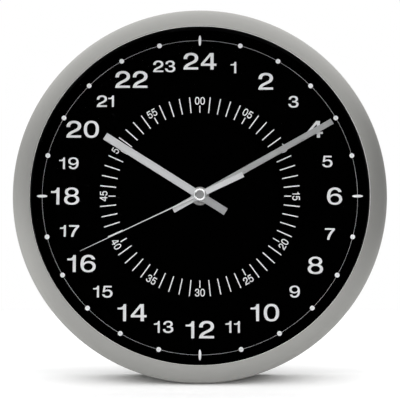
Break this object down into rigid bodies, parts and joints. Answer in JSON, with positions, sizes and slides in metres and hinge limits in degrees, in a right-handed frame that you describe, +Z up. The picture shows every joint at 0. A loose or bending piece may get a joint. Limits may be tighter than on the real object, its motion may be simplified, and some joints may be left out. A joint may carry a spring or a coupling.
{
  "type": "twenty-four hour wall clock",
  "caption": "Round wall clock with a satin aluminium rim, flat glass, black twenty-four hour dial, straight bar hands and a battery quartz movement, hung by a keyhole in its back.",
  "frame": {"origin": "the flat top of the keyhole in the case back, in the middle of the plate's thickness, where the clock hangs on its nail", "axes": "+Z up, +X to the right seen from the front, +Y back into the wall, so the dial faces -Y"},
  "size_m": [0.3, 0.0481, 0.3],
  "materials": {
    "satin_aluminium": "satin, brushed around the ring",
    "clear_glass": "clear, polished",
    "black_rubber": "matte",
    "black_plastic": "fine moulded grain",
    "black_dial": "matte black with white print",
    "screw_steel": "zinc plated",
    "turned_brass": "turned",
    "movement_plastic": "moulded, satin",
    "white_plastic": "moulded, satin",
    "board_green": "solder resist",
    "bright_spring": "bright nickel plate",
    "iron": "rolled sheet",
    "copper_wire": "enamelled copper wire",
    "battery_sleeve": "plain printed sleeve, bright ends",
    "hand_aluminium": "satin, brushed lengthwise",
    "polished_cap": "polished ring round a satin centre"
  },
  "bodies": {
    "case": {"rim": "satin_aluminium", "lens": "clear_glass", "lens_gasket": "black_rubber", "dial_ring": "black_plastic", "dial": "black_dial", "case_back": "black_plastic", "back_screw_1": "screw_steel", "back_screw_2": "screw_steel", "back_screw_3": "screw_steel", "back_screw_4": "screw_steel", "back_screw_5": "screw_steel", "back_screw_6": "screw_steel", "centre_bush": "turned_brass", "rubber_washer": "black_rubber", "brass_washer": "turned_brass", "hex_nut": "turned_brass", "movement_case": "movement_plastic", "train_plate": "white_plastic", "movement_cover": "movement_plastic", "circuit_board": "board_green", "timing_chip": "black_rubber", "quartz_crystal": "bright_spring", "coil_core": "iron", "coil_bobbin": "white_plastic", "coil_winding": "copper_wire", "stator": "iron", "battery_contact_positive": "bright_spring", "battery_contact_negative": "bright_spring"},
    "minute_train": {"minute_hand": "hand_aluminium", "minute_collet": "turned_brass", "cannon_pinion": "white_plastic"},
    "hour_train": {"hour_hand": "hand_aluminium", "hour_collet": "turned_brass", "hour_wheel": "white_plastic"},
    "motion_work": {"motion_wheel": "white_plastic"},
    "setting": {"setting_shaft": "white_plastic", "setting_knob": "white_plastic"},
    "second_train": {"second_hand": "hand_aluminium", "second_socket": "turned_brass", "second_cap": "polished_cap", "second_wheel": "white_plastic"},
    "intermediate": {"intermediate_wheel": "white_plastic"},
    "rotor": {"rotor_magnet": "iron", "rotor_pinion": "white_plastic"},
    "third": {"third_wheel": "white_plastic"},
    "centre": {"centre_wheel": "white_plastic"},
    "cell": {"battery": "battery_sleeve"}
  },
  "joints": [
    {"name": "minute_hand_turn", "type": "hinge", "parent": "case", "child": "minute_train", "pos_m": [0, 0, -0.1089], "axis": [0, 1, 0], "continuous": true},
    {"name": "hour_hand_turn", "type": "hinge", "parent": "case", "child": "hour_train", "pos_m": [0, 0, -0.1089], "axis": [0, 1, 0], "continuous": true},
    {"name": "motion_wheel_turn", "type": "hinge", "parent": "case", "child": "motion_work", "pos_m": [-0.01071, 0, -0.105], "axis": [0, 1, 0], "continuous": true},
    {"name": "setting_knob_turn", "type": "hinge", "parent": "case", "child": "setting", "pos_m": [-0.01791, 0, -0.11527], "axis": [0, 1, 0], "continuous": true},
    {"name": "second_hand_turn", "type": "hinge", "parent": "case", "child": "second_train", "pos_m": [0, 0, -0.1089], "axis": [0, 1, 0], "continuous": true},
    {"name": "intermediate_wheel_turn", "type": "hinge", "parent": "case", "child": "intermediate", "pos_m": [-0.00342, 0, -0.0995], "axis": [0, 1, 0], "continuous": true},
    {"name": "rotor_turn", "type": "hinge", "parent": "case", "child": "rotor", "pos_m": [-0.01095, 0, -0.09748], "axis": [0, 1, 0], "continuous": true},
    {"name": "third_wheel_turn", "type": "hinge", "parent": "case", "child": "third", "pos_m": [0.0094, 0, -0.10548], "axis": [0, 1, 0], "continuous": true},
    {"name": "centre_wheel_turn", "type": "hinge", "parent": "case", "child": "centre", "pos_m": [0, 0, -0.1089], "axis": [0, 1, 0], "continuous": true},
    {"name": "battery_pull", "type": "slide", "parent": "case", "child": "cell", "axis": [0, 1, 0], "range_m": [0, 0.02]}
  ],
  "couplings": [
    {"joint": "hour_hand_turn", "follows": "minute_hand_turn", "ratio": 0.041667},
    {"joint": "motion_wheel_turn", "follows": "minute_hand_turn", "ratio": -0.25},
    {"joint": "setting_knob_turn", "follows": "minute_hand_turn", "ratio": 0.66667},
    {"joint": "intermediate_wheel_turn", "follows": "second_hand_turn", "ratio": -6},
    {"joint": "rotor_turn", "follows": "second_hand_turn", "ratio": 30},
    {"joint": "third_wheel_turn", "follows": "second_hand_turn", "ratio": -0.125},
    {"joint": "centre_wheel_turn", "follows": "second_hand_turn", "ratio": 0.016667}
  ]
}
